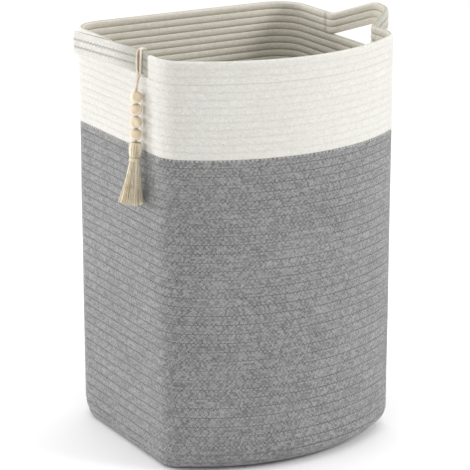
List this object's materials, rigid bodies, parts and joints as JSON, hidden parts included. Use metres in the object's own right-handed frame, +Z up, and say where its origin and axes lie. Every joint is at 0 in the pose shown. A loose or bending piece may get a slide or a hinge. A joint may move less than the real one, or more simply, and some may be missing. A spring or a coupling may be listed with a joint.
{
  "type": "laundry hamper",
  "caption": "Tall open-top laundry hamper of coiled cotton rope, grey below and cream above, with loop handles at its sides and a beaded tassel.",
  "frame": {"origin": "middle of the foot on the floor, midway between the handle straps and between front and back", "axes": "+X towards the plain handle, -Y towards the bowed front, +Z up"},
  "size_m": [0.4253, 0.342, 0.5817],
  "materials": {
    "grey_rope": "heathered grey cotton rope, matte",
    "cream_rope": "natural cream cotton rope, matte",
    "twine": "twisted natural twine, matte",
    "bead_wood": "pale turned wood, unvarnished",
    "tassel_cotton": "natural cotton strands, soft sheen"
  },
  "bodies": {
    "basket": {"base_coil": "grey_rope", "grey_wall": "grey_rope", "cream_wall": "cream_rope", "rim_front": "cream_rope", "rim_back": "cream_rope"},
    "handle_left": {"handle_left": "cream_rope"},
    "handle_right": {"handle_right": "cream_rope"},
    "hitch": {"tassel_hitch": "twine"},
    "crossing": {"hitch_crossing": "twine"},
    "twine": {"tassel_twine": "twine", "twine_knot": "twine"},
    "bead_1": {"bead_1": "bead_wood"},
    "bead_2": {"bead_2": "bead_wood"},
    "bead_3": {"bead_3": "bead_wood"},
    "bead_4": {"bead_4": "bead_wood"},
    "tassel": {"tassel_head": "tassel_cotton", "neck_binding": "tassel_cotton", "tassel_skirt": "tassel_cotton"}
  },
  "joints": [
    {"name": "handle_left_flex", "type": "hinge", "parent": "basket", "child": "handle_left", "pos_m": [-0.1745, 0, 0.54515], "axis": [0, 1, 0], "range_deg": [0, 40], "stiffness_Nm_per_rad": 0.8},
    {"name": "handle_right_flex", "type": "hinge", "parent": "basket", "child": "handle_right", "pos_m": [0.1745, 0, 0.54515], "axis": [0, -1, 0], "range_deg": [0, 40], "stiffness_Nm_per_rad": 0.8},
    {"name": "hitch_slide", "type": "slide", "parent": "handle_left", "child": "hitch", "axis": [-0.264, 0.9634, 0.0464], "range_m": [0, 0.085]},
    {"name": "tassel_level", "type": "hinge", "parent": "hitch", "child": "crossing", "pos_m": [-0.184, -0.047, 0.5302], "axis": [0, 1, 0], "range_deg": [-40, 0]},
    {"name": "tassel_swing", "type": "hinge", "parent": "crossing", "child": "twine", "pos_m": [-0.184, -0.047, 0.5302], "axis": [1, 0, 0], "range_deg": [-35, 35]},
    {"name": "tassel_tip", "type": "hinge", "parent": "twine", "child": "tassel", "pos_m": [-0.189, -0.047, 0.439], "axis": [0, 1, 0], "range_deg": [0, 22]},
    {"name": "bead_1_spin", "type": "hinge", "parent": "twine", "child": "bead_1", "pos_m": [-0.18763, -0.047, 0.503], "axis": [0.0213, 0, 0.9998], "continuous": true},
    {"name": "bead_2_spin", "type": "hinge", "parent": "twine", "child": "bead_2", "pos_m": [-0.18798, -0.047, 0.48661], "axis": [0.0213, 0, 0.9998], "continuous": true},
    {"name": "bead_3_spin", "type": "hinge", "parent": "twine", "child": "bead_3", "pos_m": [-0.18833, -0.047, 0.47021], "axis": [0.0213, 0, 0.9998], "continuous": true},
    {"name": "bead_4_spin", "type": "hinge", "parent": "twine", "child": "bead_4", "pos_m": [-0.18868, -0.047, 0.45381], "axis": [0.0213, 0, 0.9998], "continuous": true}
  ],
  "couplings": [
    {"joint": "tassel_level", "follows": "handle_left_flex", "ratio": -1}
  ]
}
